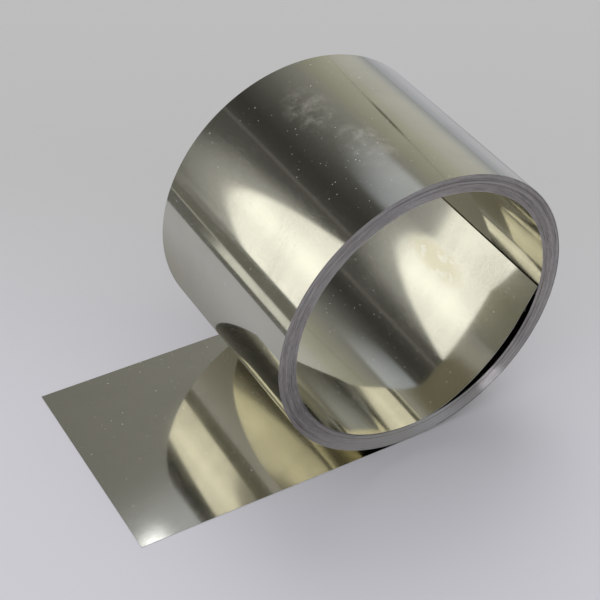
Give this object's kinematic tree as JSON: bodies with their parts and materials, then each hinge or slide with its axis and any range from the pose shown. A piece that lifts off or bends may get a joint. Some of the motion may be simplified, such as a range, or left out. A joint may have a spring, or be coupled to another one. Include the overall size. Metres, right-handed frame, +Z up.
{
  "type": "stainless steel strip coil",
  "caption": "Coil of bright stainless steel strip lying on its side, with an open bore and its outer end rolled out flat on the floor.",
  "frame": {"origin": "on the floor, under the middle of the box round the coil and its rolled-out end", "axes": "+Y along the coil's axis, from the near end to the far end; the rolled-out end points to -X; +Z up"},
  "size_m": [0.1988, 0.1004, 0.1378],
  "materials": {
    "bright_steel": "bright annealed, mirror-like, with faint rolling lines and handling smudges"
  },
  "bodies": {
    "root": {"coiled_strip": "bright_steel"}
  },
  "joints": []
}
